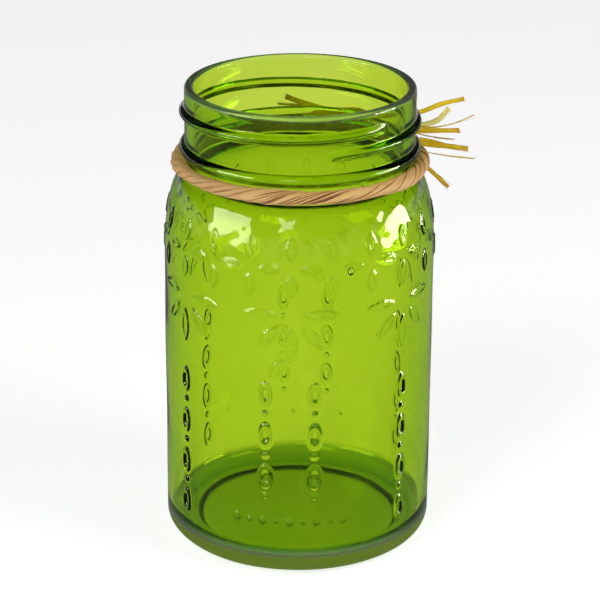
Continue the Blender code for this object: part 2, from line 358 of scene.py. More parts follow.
def flatRings(route, width, thick, face, turn, shares, fold, seed, ridges=3):
    # a folded flat strip; returns its rings, the places across and along, and the painted shade at
    # each point
    rng = np.random.default_rng(seed)
    _, sides, faces = alignedFrames(route, face)
    along = distanceAlong(route)
    share = along / along[-1]
    around, rim = stripOutline()
    angle = np.radians(turn[0] + (turn[1] - turn[0]) * share)
    taper = shares[0] + (shares[1] - shares[0]) * smoothStep(0.25, 1, share)
    wobble = 1 + 0.09 * randomWave(share, 9, 16, rng)
    widths = width / 2 * taper * wobble
    thicks = thick / 2 * (0.75 + 0.25 * taper)
    bend = fold * (1 + 0.6 * randomWave(share, 5, 9, rng))
    ridge = np.zeros(len(around))
    for _ in range(ridges):
        spot, wide = rng.uniform(-0.75, 0.75), rng.uniform(0.10, 0.2)
        ridge = ridge + rng.choice([-0.5, 0.6]) * np.exp(-((around - spot) / wide) ** 2)
    across = widths[:, None] * around
    lift = (
        thicks[:, None] * rim * (1 + 0.5 * ridge)
        + (bend * width)[:, None] * (around**2 - 0.4)
    )
    c, s = np.cos(angle)[:, None], np.sin(angle)[:, None]
    u, v = across * c - lift * s, across * s + lift * c
    rings = placed(route[:, None], u, v, sides[:, None], faces[:, None])
    # painted shade in the sunken ridges and along the curled edges; the last tenth towards the tip
    # is darker too
    paintedShadeAndTip = 0.45 * np.clip(-ridge, 0, 1) + 0.5 * np.abs(around) ** 6
    tip = smoothStep(0.9, 1, share)
    paintedShadeAndTip = np.clip(paintedShadeAndTip + 0.35 * tip[:, None], 0, 0.9)
    return rings, around * width / 2 + rng.uniform(-40, 40) * mm, along, paintedShadeAndTip


def roundRings(route, radius, sides=6):
    # a thin round fibre that narrows to a point
    _, side, face = alignedFrames(route, (0.13, 0.2, 1))
    angles = np.arange(sides) / sides * math.tau
    along = distanceAlong(route)
    narrow = radius * (1 - 0.75 * (along / along[-1]) ** 2)
    u, v = narrow[:, None] * np.cos(angles), narrow[:, None] * np.sin(angles)
    rings = placed(route[:, None], u, v, side[:, None], face[:, None])
    return rings, angles * radius, along, np.full((len(route), sides), 0.15)


def makeEnd(values, row, number):
    name, width, place, angle, points, turn, shares, fibres = row
    width = width * mm
    lean = math.radians(angle)
    way = outWay * math.cos(lean) + upWay * math.sin(lean)
    start = knotMiddle + alongWay * place * mm + way * (values["knotRadius"] + values["clear"])
    origin = outWay * bodyRadius + upWay * knotMiddle[2]
    stops = [start, start + way * values["straight"]]
    stops += [origin + np.array(point) * mm for point in points]
    route = smoothRoute(stops, values["step"])
    thick = max(values["thick"] * width, values["leastThick"])
    strands = Strands()
    strands.add(*flatRings(
        route, width, thick, values["facing"], turn, shares, values["fold"], 100 + number
    ))
    rng = np.random.default_rng(300 + number)
    tangents, sides, faces = alignedFrames(route, values["facing"])
    for _ in range(fibres):
        # loose fibres that part from the strip near its tip and end a little past it
        begin = int(len(route) * rng.uniform(0.55, 0.8))
        shift = rng.uniform(-0.42, 0.42) * width
        part = route[begin:] + sides[begin:] * shift
        away = np.linspace(0, 1, len(part))[:, None] ** 2
        drift = sides[begin:] * np.sign(shift) * rng.uniform(0.2, 0.9) * mm
        part = part + away * (drift + faces[begin:] * rng.uniform(-0.5, 0.5) * mm)
        part = np.concatenate([part, part[-1:] + tangents[-1:] * rng.uniform(0.3, 1.3) * mm])
        strands.add(*roundRings(part, rng.uniform(0.10, 0.17) * mm))
    slotName = "raffia_pale" if name in values["pale"] else "raffia_golden"
    piece = strands.build(name, raffia[slotName])
    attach(piece, "tie")
    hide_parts(name)


for number, row in enumerate(endValues["ends"]):
    makeEnd(endValues, row, number)
print("loose ends made")


ropeValues = {
    "strands": 5,
    "ringRadius": 43.4 * mm,
    "inside": 40.68 * mm,           # from the jar's axis, just clear of the glass
    "height": float(knotMiddle[2]),
    "radius": 2.5 * mm,
    "pitch": 37 * mm,
    "halfGap": math.radians(8.6),   # either side of the knot's middle
    "clear": 0.05 * mm,
    "stations": 360,
    "points": 33,                   # across the outside of one strand
    # places across a strand's underside, each with its share of the radius
    "under": ((0.92, 0.62), (0.6, 0.28), (0, 0.16), (-0.6, 0.28), (-0.92, 0.62)),
    "wander": 0.18 * mm,
    "creases": 5,                   # sharp folds along each strand
    "crumple": (0.14, 0.36, 1.0),   # depth everywhere, here and there, and at the front
    "creaseWidth": (0.05, 0.085),
    "frontSpread": 0.035,
    "drawIn": (0.25, 0.012),        # how much and over what share the ends thin into the knot
}


def makeRope(values):
    rng = np.random.default_rng(11)
    count, stations = values["strands"], values["stations"]
    sweep = math.tau - 2 * values["halfGap"]
    t = np.linspace(0, 1, stations)
    turnRound = knotAngle + values["halfGap"] + sweep * t
    lengthAlong = sweep * values["ringRadius"] * t
    # the rope's middle line wanders a little, and its thickness swells here and there
    rise = np.sin(turnRound * 5 + 1.1) * np.sin(turnRound * 2.3)
    height = values["height"] + values["wander"] * rise
    ring = values["ringRadius"] + 0.1 * mm * np.sin(turnRound * 7 + 0.4)
    swell = 1 + 0.045 * np.sin(turnRound * 11 + 2) + 0.05 * np.sin(turnRound * 5 + 4.2)
    outward = np.stack([np.cos(turnRound), np.sin(turnRound), np.zeros(stations)], axis=-1)
    centre = outward * ring[:, None] + height[:, None] * upWay
    twist = math.tau * lengthAlong / values["pitch"] + 0.5 * np.sin(turnRound * 3 + 0.7)
    # the joins between neighbouring strands shift, so some show wide and some narrow
    joins = []
    for strand in range(count):
        shift = 0.24 * randomWave(turnRound, 3, 6, rng)
        shift = shift + 0.10 * randomWave(turnRound, 9, 14, rng)
        joins.append(twist + math.tau * strand / count + shift)
    joins.append(joins[0] + math.tau)
    share = np.linspace(-1, 1, values["points"])
    innerShare, innerRadii = np.array(values["under"]).T
    innerCount = len(innerShare)
    gap = values["clear"] / values["radius"]
    # flat smooth stretches, and crumpled ones at the front and here and there
    fromFront = 1 - np.cos((turnRound + math.pi / 2) / 2) ** 2
    front = np.exp(-(fromFront / values["frontSpread"]) ** 2)
    base, patchy, atFront = values["crumple"]
    drawn, drawnOver = values["drawIn"]
    # the strands draw in where they go into the knot
    thin = 1 - drawn * (1 - smoothStep(0, drawnOver, t)) - drawn * smoothStep(1 - drawnOver, 1, t)
    for strand in range(count):
        low, high = joins[strand] + gap, joins[strand + 1] - gap
        middle, half = (low + high)[:, None] / 2, (high - low)[:, None] / 2
        angles = middle + half * share
        radius = values["radius"] * swell * (1 + 0.03 * np.sin(turnRound * 9 + strand * 2.2))
        patches = (0.5 + 0.5 * np.sin(turnRound * 3 + strand * 1.3)) ** 2
        crumple = base + patchy * patches + atFront * front
        depth = np.zeros((stations, len(share)))
        for _ in range(values["creases"]):
            spot = rng.uniform(-0.85, 0.85) + 0.16 * randomWave(turnRound, 2, 6, rng)
            wide = rng.uniform(*values["creaseWidth"]) * (1 + 1.3 * front)
            gate = smoothStep(0.1, 0.8, 0.5 + 0.5 * randomWave(turnRound, 3, 8, rng))
            depth = depth + (gate * crumple)[:, None] * np.exp(
                -((share - spot[:, None]) / wide[:, None]) ** 2)
        depth = np.clip(depth, 0, 1.2)
        # one edge of each strip lies over its neighbour, and the other tucks under
        lap = 0.055 * share - 0.16 * np.clip(-share, 0, 1) ** 7 - 0.07 * np.clip(share, 0, 1) ** 12
        flat = 0.07 * np.cos(2 * (angles - 0.6 * np.sin(turnRound * 4)[:, None]))
        outer = radius[:, None] * (1 + lap - 0.1 * depth + flat)
        outer = outer * (1 + 0.012 * np.sin(share * 17 + strand))
        inner = np.broadcast_to(values["radius"] * innerRadii, (stations, innerCount))
        allAngles = np.concatenate([angles, middle + half * innerShare], axis=1)
        allRadii = np.concatenate([outer, inner], axis=1) * thin[:, None]
        u, v = allRadii * np.cos(allAngles), allRadii * np.sin(allAngles)
        rings = placed(centre[:, None], u, v, outward[:, None], upWay)
        # the glass presses the rope's inner side flat
        fromAxis = np.linalg.norm(rings[..., :2], axis=-1, keepdims=True)
        rings[..., :2] *= np.maximum(1, values["inside"] / fromAxis)
        # painted shade: dark in the crumpled creases, on the edge that tucks under the next
        # strand, and over the underside against the glass
        tucked = np.clip(-share, 0, 1) ** 8
        paintedShadeAndTip = np.concatenate([
            np.clip(0.95 * depth + 0.8 * tucked, 0, 0.97), np.full((stations, innerCount), 0.8),
        ], axis=1)
        across = np.concatenate([
            share * math.pi / count * values["radius"], np.array([1.6, 1.2, 0, -1.2, -1.6]) * mm,
        ]) + strand * 11 * mm
        strands = Strands()
        strands.add(rings[:, ::-1], across[::-1], lengthAlong, paintedShadeAndTip[:, ::-1])
        name = f"raffia_wrap_{strand + 1}"
        piece = strands.build(name, raffia["raffia"], 60)
        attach(piece, "tie")
        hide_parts(name)


makeRope(ropeValues)
print("rope made")


knotValues = {
    "length": 11.6 * mm,
    "core": 2.5 * mm,
    "loopWidth": 3.1 * mm,
    "loopThick": 0.55 * mm,
    "loopFold": 0.35 * mm,      # how far a loop's edges dip
    "pleat": 0.16,
    # place along the knot in millimetres, lean in degrees, and the loop's radius in millimetres
    "loops": ((-3.4, 24, 2.85), (-0.6, -20, 3.0), (2.6, 28, 2.9)),
}


def makeKnot(values):
    strands = Strands()
    stations = 40
    along = np.linspace(-0.5, 0.5, stations) * values["length"]
    around = np.linspace(0, math.tau, 29)[:-1]
    swell = np.sqrt(np.clip(1 - (2 * along / values["length"] * 0.93) ** 4, 0.02, 1))
    lumps = (
        1 + 0.05 * np.sin(around * 5 + along[:, None] / mm * 0.9)
        + 0.03 * np.sin(around * 9 - along[:, None] / mm * 1.4)
    )
    radii = values["core"] * swell[:, None] * lumps
    middles = knotMiddle + along[:, None, None] * alongWay
    rings = placed(middles, radii * np.cos(around), radii * np.sin(around), outWay, upWay)
    # painted shade in the grooves between the core's lumps
    groove = np.clip(0.5 - 6 * (lumps - 1), 0, 0.8)
    strands.add(rings[:, ::-1], around * values["core"], along, groove[:, ::-1])
    for number, (place, lean, radius) in enumerate(values["loops"]):
        # a flat strip wound once round the core, with its ends tucked under
        turn = np.linspace(-0.1, math.tau * 0.98, 60)
        tilt = math.tan(math.radians(lean))
        tuck = 1 - 0.12 * (1 - smoothStep(0, 0.1, turn / math.tau))
        rise = radius * mm * tuck
        middles = knotMiddle + (place * mm + tilt * rise * np.cos(turn + 0.7))[:, None] * alongWay
        loop = placed(middles, rise * np.cos(turn), rise * np.sin(turn), outWay, upWay)
        tangents = unit(np.gradient(loop, axis=0))
        outFace = placed(0, np.cos(turn), np.sin(turn), outWay, upWay)
        side = np.cross(tangents, outFace)
        edge, rim = stripOutline()
        pleat = values["pleat"] * np.sin(edge * 7 + number)
        u = values["loopWidth"] / 2 * edge
        v = values["loopThick"] / 2 * (rim + pleat) - values["loopFold"] * edge**2
        strip = placed(loop[:, None], u, v, side[:, None], outFace[:, None])
        shade = 0.5 * np.abs(edge) ** 5 + 0.3 * np.clip(-pleat / values["pleat"], 0, 1)
        shade = np.clip(shade, 0, 0.9)
        strands.add(strip, edge * 1.5 * mm + number * 9 * mm, distanceAlong(loop), shade)
    piece = strands.build("raffia_knot", raffia["raffia"], 60)
    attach(piece, "tie")
    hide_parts("raffia_knot")


makeKnot(knotValues)
print("knot made")


glassValues = {
    "absorb": (174, 99, 800),     # how fast red, green and blue are lost, for each metre
    "depth": 0.935,               # how far from white the colour of the loss may go
    "roughness": 0.012,
    "ior": 1.5,
    "shine": 0.12,                # 0.5 is plain glass
    "mirror": (0.6, 0.6, 0.42),   # tint of the light it mirrors
    "frost": 0.42,                # roughness of the stippled heel and underside
    "milk": (0.46, 0.72, 0.03),   # colour that the stippled glass scatters
    "clear": 0.74,                # how much of the light still goes through the stipple
    "edge": (0.6, 0.68, 0.5),     # painted shade where the pattern's edges bend the light away
}


def glassMaterial(values):
    material, nodes, links, shader = newMaterial("green_glass")
    setInputs(shader, {
        "Specular Tint": (*values["mirror"], 1), "Specular IOR Level": values["shine"],
        "IOR": values["ior"],
    })

    def tinted(attribute, colour):
        share = nodes.new("ShaderNodeAttribute")
        share.attribute_name = attribute
        mix = nodes.new("ShaderNodeMixRGB")
        setInputs(mix, {"Color2": (*colour, 1)})
        links.new(share.outputs["Fac"], mix.inputs["Fac"])
        return share, mix

    # painted shade: the glass's colour darkens along the pattern's steep edges, standing in for
    # the light they bend away
    _, outline = tinted("edge", values["edge"])
    setInputs(outline, {"Color1": (1, 1, 1, 1)})
    stipple, milk = tinted("stipple", values["milk"])
    links.new(outline.outputs["Color"], milk.inputs["Color1"])
    links.new(milk.outputs["Color"], shader.inputs["Base Color"])
    for socket, plain, stippled in (
        ("Transmission Weight", 1, values["clear"]),
        ("Roughness", values["roughness"], values["frost"]),
    ):
        spread = nodes.new("ShaderNodeMapRange")
        setInputs(spread, {"To Min": plain, "To Max": stippled})
        links.new(stipple.outputs["Fac"], spread.inputs["Value"])
        links.new(spread.outputs["Result"], shader.inputs[socket])
    density = max(values["absorb"]) / values["depth"]
    inside = nodes.new("ShaderNodeVolumeAbsorption")
    colour = (*[1 - a / density for a in values["absorb"]], 1)
    setInputs(inside, {"Color": colour, "Density": density})
    links.new(inside.outputs["Volume"], nodes["Material Output"].inputs["Volume"])
    return material


patternValues = {
    # degrees round the jar
    "turn": -3.3,               # of the front middle, to the left
    "unit": 17.37,              # between the small leaves
    "flower": 52.1,             # between the flowers
    "chainPair": 10.3,          # from the front middle to each inner chain
    # the rest is in millimetres: how proud each kind stands
    "leafHeight": 0.46,
    "petalHeight": 0.44,
    "chainHeight": 0.62,
    "lineHeight": 0.6,
    # height, length and width
    "uprightLeaves": ((124.4, 8.6, 4.3), (111.2, 8.8, 4.6)),
    "lyingLeaf": (117.5, 8.4, 3.8),
    "lowPetal": (89.1, 14, 4.9),
    # place beside the flower's middle, height, tilt from upright in degrees, length and width
    "petals": ((10.6, 100.9, 90, 14.4, 3.9), (7.8, 92.6, -44, 12, 4.4)),
    "strayLeaf": (-4.4, 80.7, 35, 9.4, 4.4),
    # height of the highest oval and number of ovals, for the inner and outer chains
    "innerChain": (70.9, 3),
    "outerChain": (68.1, 4),
    "oval": (10.6, 5.2),
    "ovalStep": 15.9,
    "dots": (3, 3, 7.6),        # how many in a chain, their size and drop below their oval
    "lowRow": (21.9, 4.9, 9),   # height, step and number of marks
    "lozenge": (4.6, 3.4),
    "lowDot": 2.0,
    "reach": (13, 131),         # lowest and highest row that is fine enough for the pattern
    "edgeSlope": (0.3, 0.85),   # slopes at which the outline's painted shade starts and is full
}


def patternMotifs(values):
    # kind, degrees from a half's middle, height, tilt from upright, length, width, rise
    motifs = []

    def put(kind, degrees, z, tilt, length, width, rise):
        motifs.append((kind, degrees, z, tilt, length, width, rise))

    leaf, petal, chain = values["leafHeight"], values["petalHeight"], values["chainHeight"]
    perMm = math.degrees(1 / (bodyRadius / mm))
    spots = [values["unit"] * k for k in range(-4, 5)] + [90]
    for spot in spots:
        for z, length, width in values["uprightLeaves"]:
            put("leaf", spot, z, 0, length, width, leaf)
    ends = [-90] + spots
    z, length, width = values["lyingLeaf"]
    for left, right in zip(ends, ends[1:]):
        put("leaf", (left + right) / 2, z, 90, length, width, leaf)
    for k in (-1, 0, 1):
        middle = k * values["flower"]
        for side in (-1, 1):
            for beside, z, tilt, length, width in values["petals"]:
                put("leaf", middle + side * beside * perMm, z, side * tilt, length, width, petal)
        z, length, width = values["lowPetal"]
        put("leaf", middle, z, 0, length, width, petal)
    beside, z, tilt, length, width = values["strayLeaf"]
    put("leaf", beside * perMm, z, tilt, length, width, leaf)
    dots, dotSize, dotDrop = values["dots"]
    for degrees, (top, ovals) in (
        (values["chainPair"], values["innerChain"]), (values["flower"], values["outerChain"]),
    ):
        for side in (-1, 1):
            for i in range(ovals):
                z = top - values["ovalStep"] * i
                put("oval", side * degrees, z, 0, *values["oval"], chain)
                if i < dots:
                    put("dot", side * degrees, z - dotDrop, 0, dotSize, dotSize, chain * 1.1)
    z, step, marks = values["lowRow"]
    for i in range(marks):
        # a plain row low on the front
        kind = "lozenge" if i % 2 == 0 else "dot"
        size = values["lozenge"] if kind == "lozenge" else (values["lowDot"], values["lowDot"])
        put(kind, (i - (marks - 1) / 2) * step * perMm, z, 0, *size, values["lineHeight"])
    return motifs


def motifRise(kind, u, v, length, width):
    # u runs along the motif and v across it, in millimetres; the answer is 0 to 1
    if kind == "leaf":
        share = np.clip(1 - (2 * u / length) ** 2, 0, None)
        inset = width / 2 * share * np.where(np.abs(u) < length / 2, 1, 0) - np.abs(v)
        inset = inset * 0.92
        return smoothStep(-0.05, 0.62, inset) - 0.6 * smoothStep(0.8, 1.45, inset)
    if kind == "oval":
        inset = (1 - np.sqrt((2 * u / length) ** 2 + (2 * v / width) ** 2)) * width / 2
        return smoothStep(-0.1, 0.7, inset) - 1.25 * smoothStep(1.15, 1.75, inset)
    if kind == "dot":
        inset = width / 2 - np.sqrt(u**2 + v**2)
        return smoothStep(-0.1, width * 0.36, inset)
    inset = (1 - 2 * np.abs(u) / length - 2 * np.abs(v) / width) * 0.42 * width
    return smoothStep(-0.05, 0.6, inset)


def patternHeight(degrees, z, values):
    # millimetres proud, for each row z in millimetres and column in degrees from the front
    rise = np.zeros((len(z), len(degrees)))
    radius = bodyRadius / mm
    for half in (0, 180):
        for kind, spot, height, tilt, length, width, proud in patternMotifs(values):
            if half == 180 and kind == "lozenge":
                continue    # the back's low row has only its dots
            gap = (degrees - (spot + values["turn"] + half) + 180) % 360 - 180
            s = np.radians(gap) * radius
            reach = max(length, width) / 2 + 0.4
            columns = np.where(np.abs(s) < reach)[0]
            rows = np.where(np.abs(z - height) < reach)[0]
            if not len(columns) or not len(rows):
                continue
            x, y = np.meshgrid(s[columns], z[rows] - height)
            lean = math.radians(tilt)
            u = x * math.sin(lean) + y * math.cos(lean)
            v = x * math.cos(lean) - y * math.sin(lean)
            bump = proud * motifRise(kind, u, v, length, width)
            window = np.ix_(rows, columns)
            current = rise[window]
            rise[window] = np.where(np.abs(bump) > np.abs(current), bump, current)
    return rise


jarValues = {
    "skin": 0.38 * mm,          # the plain wall lies this far inside the widest points
    "wall": 3.0 * mm,
    "heel": 7 * mm,
    "bearing": 4.5 * mm,
    "recess": 1.6 * mm,
    "floor": 6.1 * mm,          # height of the inner floor
    "innerHeel": 6 * mm,
    "stippleTop": 11 * mm,      # the heel's stipple fades out up to here
    "underTop": 2.6 * mm,
    "underMilk": 0.45,          # share of the heel's stipple that the underside has
    "lipMilk": 0.3,             # and the rubbed lip
    "lipFade": (2.2 * mm, 0.4 * mm),    # below the rim, where that starts and is full
    "finish": 41.1 * mm,        # radius of the screw finish
    "mouth": 37.8 * mm,
    "lip": 1.3 * mm,
    "threadRise": 1.9 * mm,
    "threadWidth": 3.6 * mm,
    "threadPitch": 6.35 * mm,
    "threadDepth": 6.9 * mm,
    "threadStart": -44,         # degrees from +X
    "threadSweep": 392,
    "threadFade": 26,           # degrees over which its ends rise and sink
    "threadSteep": (1.12, 0.92),        # its upper side is steeper than its lower one
    "bead": 43 * mm,
    "beadHeight": 4.4 * mm,
    "beadDepth": 22.4 * mm,
    "groove": 40.6 * mm,
    "ledge": jarHeight - 30.3 * mm,
    "shoulderBottom": jarHeight - 61.8 * mm,
    "shoulderHeight": 31.5 * mm,
    "fineColumns": 588,         # points round the patterned rows, three to one of the others
    "columns": 196,
    "waves": 0.09 * mm,
    "wavesFade": (6 * mm, 1 * mm),      # below the ledge, where the outside turns even
    "ripples": 0.085 * mm,
    "ripplesRise": (10 * mm, 20 * mm),  # above the shoulder's foot, where they set in
    "innerWaves": 0.13 * mm,
}


def arc(centre, across, tall, start, end, steps):
    turn = np.radians(np.linspace(start, end, steps + 1))
    return [(centre[0] + across * math.cos(a), centre[1] + tall * math.sin(a)) for a in turn]


def line(start, end, step):
    parts = max(1, round(math.dist(start, end) / step))
    return [
        (start[0] + (end[0] - start[0]) * i / parts, start[1] + (end[1] - start[1]) * i / parts)
        for i in range(parts + 1)
    ]


def jarOutline(v):
    # each point: radius, height and a part name
    body = bodyRadius - v["skin"]
    heelSize, recess = v["heel"], v["recess"]
    bearingOut = body - heelSize
    bearingIn = bearingOut - v["bearing"]
    top = jarHeight
    under = [(0.0, recess + 0.5 * mm), (8 * mm, recess + 0.48 * mm)]
    under += line((16 * mm, recess + 0.4 * mm), (bearingIn - 2.4 * mm, recess), 3 * mm)
    under += [
        (bearingIn - 1.3 * mm, recess * 0.85), (bearingIn - 0.5 * mm, recess * 0.3),
        (bearingIn, 0.0), (bearingIn + 1.5 * mm, 0.0), (bearingOut - 1.2 * mm, 0.0),
    ]
    heel = arc((bearingOut, heelSize), heelSize, heelSize, -90, 0, 22)
    side = line((body, heelSize), (body, v["shoulderBottom"]), 0.5 * mm)
    # the shoulder's rows, half a millimetre apart over the pattern and closer above it
    shoulder = []
    across = body - v["groove"]
    z = 0.0
    while z < v["shoulderHeight"] * 0.985:
        share = z / v["shoulderHeight"]
        shoulder.append((v["groove"] + across * math.sqrt(1 - share**2), v["shoulderBottom"] + z))
        z += 0.5 * mm if z < 24 * mm else 0.35 * mm
    shoulder.append((v["groove"] + 0.9 * mm, v["ledge"] - 0.05 * mm))
    fillet = [(v["groove"] + 0.35 * mm, v["ledge"] + 0.3 * mm), (v["groove"], v["ledge"] + 1 * mm)]
    beadMiddle = top - v["beadDepth"]
    beadHalf = v["beadHeight"] / 2
    beadLow, beadHigh = beadMiddle - beadHalf, beadMiddle + beadHalf
    neck = line((v["groove"], v["ledge"] + 1.5 * mm), (v["groove"], beadLow - 0.5 * mm), 0.6 * mm)
    bead = []
    for turn in np.radians(np.linspace(-80, 90, 20)):
        r = v["groove"] + (v["bead"] - v["groove"]) * max(0.02, math.cos(turn)) ** 0.9
        z = beadMiddle + beadHalf * math.sin(turn)
        # its top runs into the screw finish, which is wider than the groove
        bead.append((max(r, v["finish"]) if z > beadMiddle + beadHalf * 0.8 else r, z))
    finish = line((v["finish"], beadHigh + 0.3 * mm), (v["finish"], top - v["lip"]), 0.34 * mm)
    lip = arc((v["finish"] - v["lip"], top - v["lip"]), v["lip"], v["lip"], 0, 90, 7)
    inside = bodyRadius - v["wall"]
    lipIn = arc((v["mouth"] + v["lip"], top - v["lip"]), v["lip"], v["lip"], 90, 180, 7)
    bore = line((v["mouth"], top - v["lip"]), (v["mouth"], v["ledge"] - 3.0 * mm), 1.1 * mm)
    shoulderIn = arc(
        (v["mouth"], v["shoulderBottom"]), inside - v["mouth"], v["shoulderHeight"] - v["wall"],
        90, 0, 39,
    )
    sideIn = line((inside, v["shoulderBottom"]), (inside, v["floor"] + v["innerHeel"]), 1.5 * mm)
    heelIn = arc(
        (inside - v["innerHeel"], v["floor"] + v["innerHeel"]), v["innerHeel"], v["innerHeel"],
        0, -90, 16,
    )
    floorIn = line((inside - v["innerHeel"], v["floor"]), (10 * mm, v["floor"] + 0.4 * mm), 2 * mm)
    floorIn.append((0.0, v["floor"] + 0.5 * mm))
    outline = []
    for part, points in (
        ("under", under), ("heel", heel), ("side", side + shoulder), ("neck", fillet + neck),
        ("bead", bead), ("finish", finish), ("lip", lip + lipIn), ("bore", bore),
        ("inside", shoulderIn + sideIn), ("heelIn", heelIn), ("floorIn", floorIn),
    ):
        for r, z in points:
            if not outline or math.dist((r, z), outline[-1][:2]) > 1e-5:
                outline.append((r, z, part))
    return outline


def threadRise(angles, z, v):
    # how far the thread stands proud at each row z and column angle
    rise = np.zeros((len(z), len(angles)))
    start = v["threadStart"]
    for extra in (0, 360):
        swept = (start - np.degrees(angles)) % 360 + extra
        inRange = swept <= v["threadSweep"]
        middle = jarHeight - v["threadDepth"] - v["threadPitch"] * swept / 360
        nearest = np.minimum(swept, v["threadSweep"] - swept)
        fade = np.sin(np.pi / 2 * np.clip(nearest / v["threadFade"], 0, 1)) * inRange
        across = (z[:, None] - middle) / (v["threadWidth"] / 2)
        across = across * np.where(across > 0, *v["threadSteep"])
        shape = np.clip(1 - np.abs(across) ** 2.3, 0, 1) ** 0.85
        rise = np.maximum(rise, v["threadRise"] * fade * shape)
    return rise


def waves(angles, z, amount, seed, arounds=(1, 9), talls=(20, 140)):
    # soft unevenness of pressed glass
    rng = np.random.default_rng(seed)
    total = np.zeros((len(z), len(angles)))
    for _ in range(9):
        around = int(rng.integers(*arounds))
        tall = rng.uniform(*talls)
        total += (
            np.sin(around * angles + rng.uniform(0, 6.3))
            * np.sin(z[:, None] * tall + rng.uniform(0, 6.3))
        ) / 3
    return total * amount


def wallPush(angles, z, kinds, isFine, v):
    # how far the wall is pushed out at each row and column, and the share of painted outline shade
    # that the pattern's steepness gives there
    outside = np.isin(kinds, ["side", "heel"])
    fadeStart, fadeEnd = v["wavesFade"]
    even = 1 - smoothStep(v["ledge"] - fadeStart, v["ledge"] - fadeEnd, z)
    push = waves(angles, z, v["waves"], 3) * (outside * even)[:, None]
    foot = v["shoulderBottom"]
    onShoulder = smoothStep(foot + v["ripplesRise"][0], foot + v["ripplesRise"][1], z)
    ripples = waves(angles, z, v["ripples"], 21, (14, 40), (300, 900))
    push += ripples * (outside * even * onShoulder)[:, None]
    within = np.isin(kinds, ["inside", "heelIn", "bore"])
    push += waves(angles, z, v["innerWaves"], 5) * within[:, None]
    edge = np.zeros(push.shape)
    if isFine:
        degrees = np.degrees(angles + math.pi / 2)
        pattern = patternHeight(degrees, z / mm, patternValues)
        push += pattern * mm
        apart = math.radians(degrees[1] - degrees[0]) * bodyRadius / mm
        slope = np.hypot(*np.gradient(pattern, z / mm, apart))
        # the pattern's steep edges get painted shade in the glass's colour
        edge = smoothStep(*patternValues["edgeSlope"], slope)
    isFinish = kinds == "finish"
    if isFinish.any():
        push[isFinish] += threadRise(angles, z[isFinish], v)
    return push, edge


def joinRows(below, above):
    # faces between two rows of points, each given by its first point's number and its count
    if below[1] == above[1]:
        i = np.arange(below[1])
        j = (i + 1) % below[1]
        return [np.stack([below[0] + i, below[0] + j, above[0] + j, above[0] + i], axis=-1)]
    # several fine columns meet one coarse column: a face with four corners between triangles
    flip = below[1] > above[1]
    (coarse, few), (fine, many) = (above, below) if flip else (below, above)
    ratio = many // few
    i = np.arange(few)
    j = (i + 1) % few
    f = [fine + (i * ratio + k) % many for k in range(ratio + 1)]
    middle = ratio // 2
    blocks = [np.stack([coarse + i, coarse + j, f[middle + 1], f[middle]], axis=-1)]
    for k in range(ratio):
        if k != middle:
            corner = coarse + (i if k < middle else j)
            blocks.append(np.stack([corner, f[k + 1], f[k]], axis=-1))
    return [block[:, ::-1] if flip else block for block in blocks]


bubbleValues = {
    "depth": 1.35 * mm,     # from the wall's outside to a bubble's middle
    "thickest": 1.5,        # millimetres through the wall
    "rows": 9,
    "columns": 14,
    # degrees from the front, height, width and length in millimetres
    "bubbles": (
        (22.1, 115.7, 2.4, 3.3), (37, 103.5, 0.6, 0.9), (15, 97, 0.45, 0.6),
        (-31, 62, 0.5, 0.8), (61, 74, 0.6, 0.9), (-68, 90, 0.5, 0.7),
        (140, 60, 0.7, 1.0), (-150, 100, 0.6, 0.9), (24, 21, 0.6, 0.6),
    ),
}


def bubbleShell(bubble, first, values, v):
    # a closed shell in the wall that faces its own hollow; first is its first point's number
    degrees, z, wide, tall = bubble
    angle = math.radians(degrees - 90)
    middle = bodyRadius - v["skin"] - values["depth"]
    if z > v["shoulderBottom"] / mm:
        share = (z * mm - v["shoulderBottom"]) / v["shoulderHeight"]
        middle -= (bodyRadius - v["groove"]) * (1 - math.sqrt(1 - share**2))
    outward = np.array([math.cos(angle), math.sin(angle), 0])
    sideways = np.array([-math.sin(angle), math.cos(angle), 0])
    centre = outward * middle + upWay * z * mm
    deep = min(wide, values["thickest"])
    rows, columns = values["rows"], values["columns"]
    points = []
    for a in range(1, rows):
        up = math.pi * a / rows
        for b in range(columns):
            turn = math.tau * b / columns
            points.append(centre + mm / 2 * (
                upWay * math.cos(up) * tall + sideways * math.sin(up) * math.cos(turn) * wide
                + outward * math.sin(up) * math.sin(turn) * deep
            ))
    topPoint = first + len(points)
    points += [centre + upWay * tall * mm / 2, centre - upWay * tall * mm / 2]
    starts = [first + a * columns for a in range(rows - 1)]
    faces = []
    for start, after in zip(starts, starts[1:]):
        faces += joinRows((start, columns), (after, columns))
    i = np.arange(columns)
    j = (i + 1) % columns
    faces.append(np.stack([first + j, first + i, np.full(columns, topPoint)], axis=-1))
    last = starts[-1]
    faces.append(np.stack([last + i, last + j, np.full(columns, topPoint + 1)], axis=-1))
    return np.array(points), faces


def stippleShare(verts, v):
    # how stippled or rubbed the glass is at each point
    z = verts[:, 2]
    fromAxis = np.hypot(verts[:, 0], verts[:, 1])
    under = (z < v["underTop"]) * (fromAxis < bodyRadius - v["heel"] + 0.5 * mm)
    # the heel's outside, and not the glass's inside above the floor
    onHeel = fromAxis > bodyRadius - v["heel"] + (z > 5 * mm) * 4.6 * mm
    fade = 1 - smoothStep(v["stippleTop"] * 0.6, v["stippleTop"], z)
    onLip = smoothStep(jarHeight - v["lipFade"][0], jarHeight - v["lipFade"][1], z)
    return np.max([under * v["underMilk"], onHeel * fade, onLip * v["lipMilk"]], axis=0)


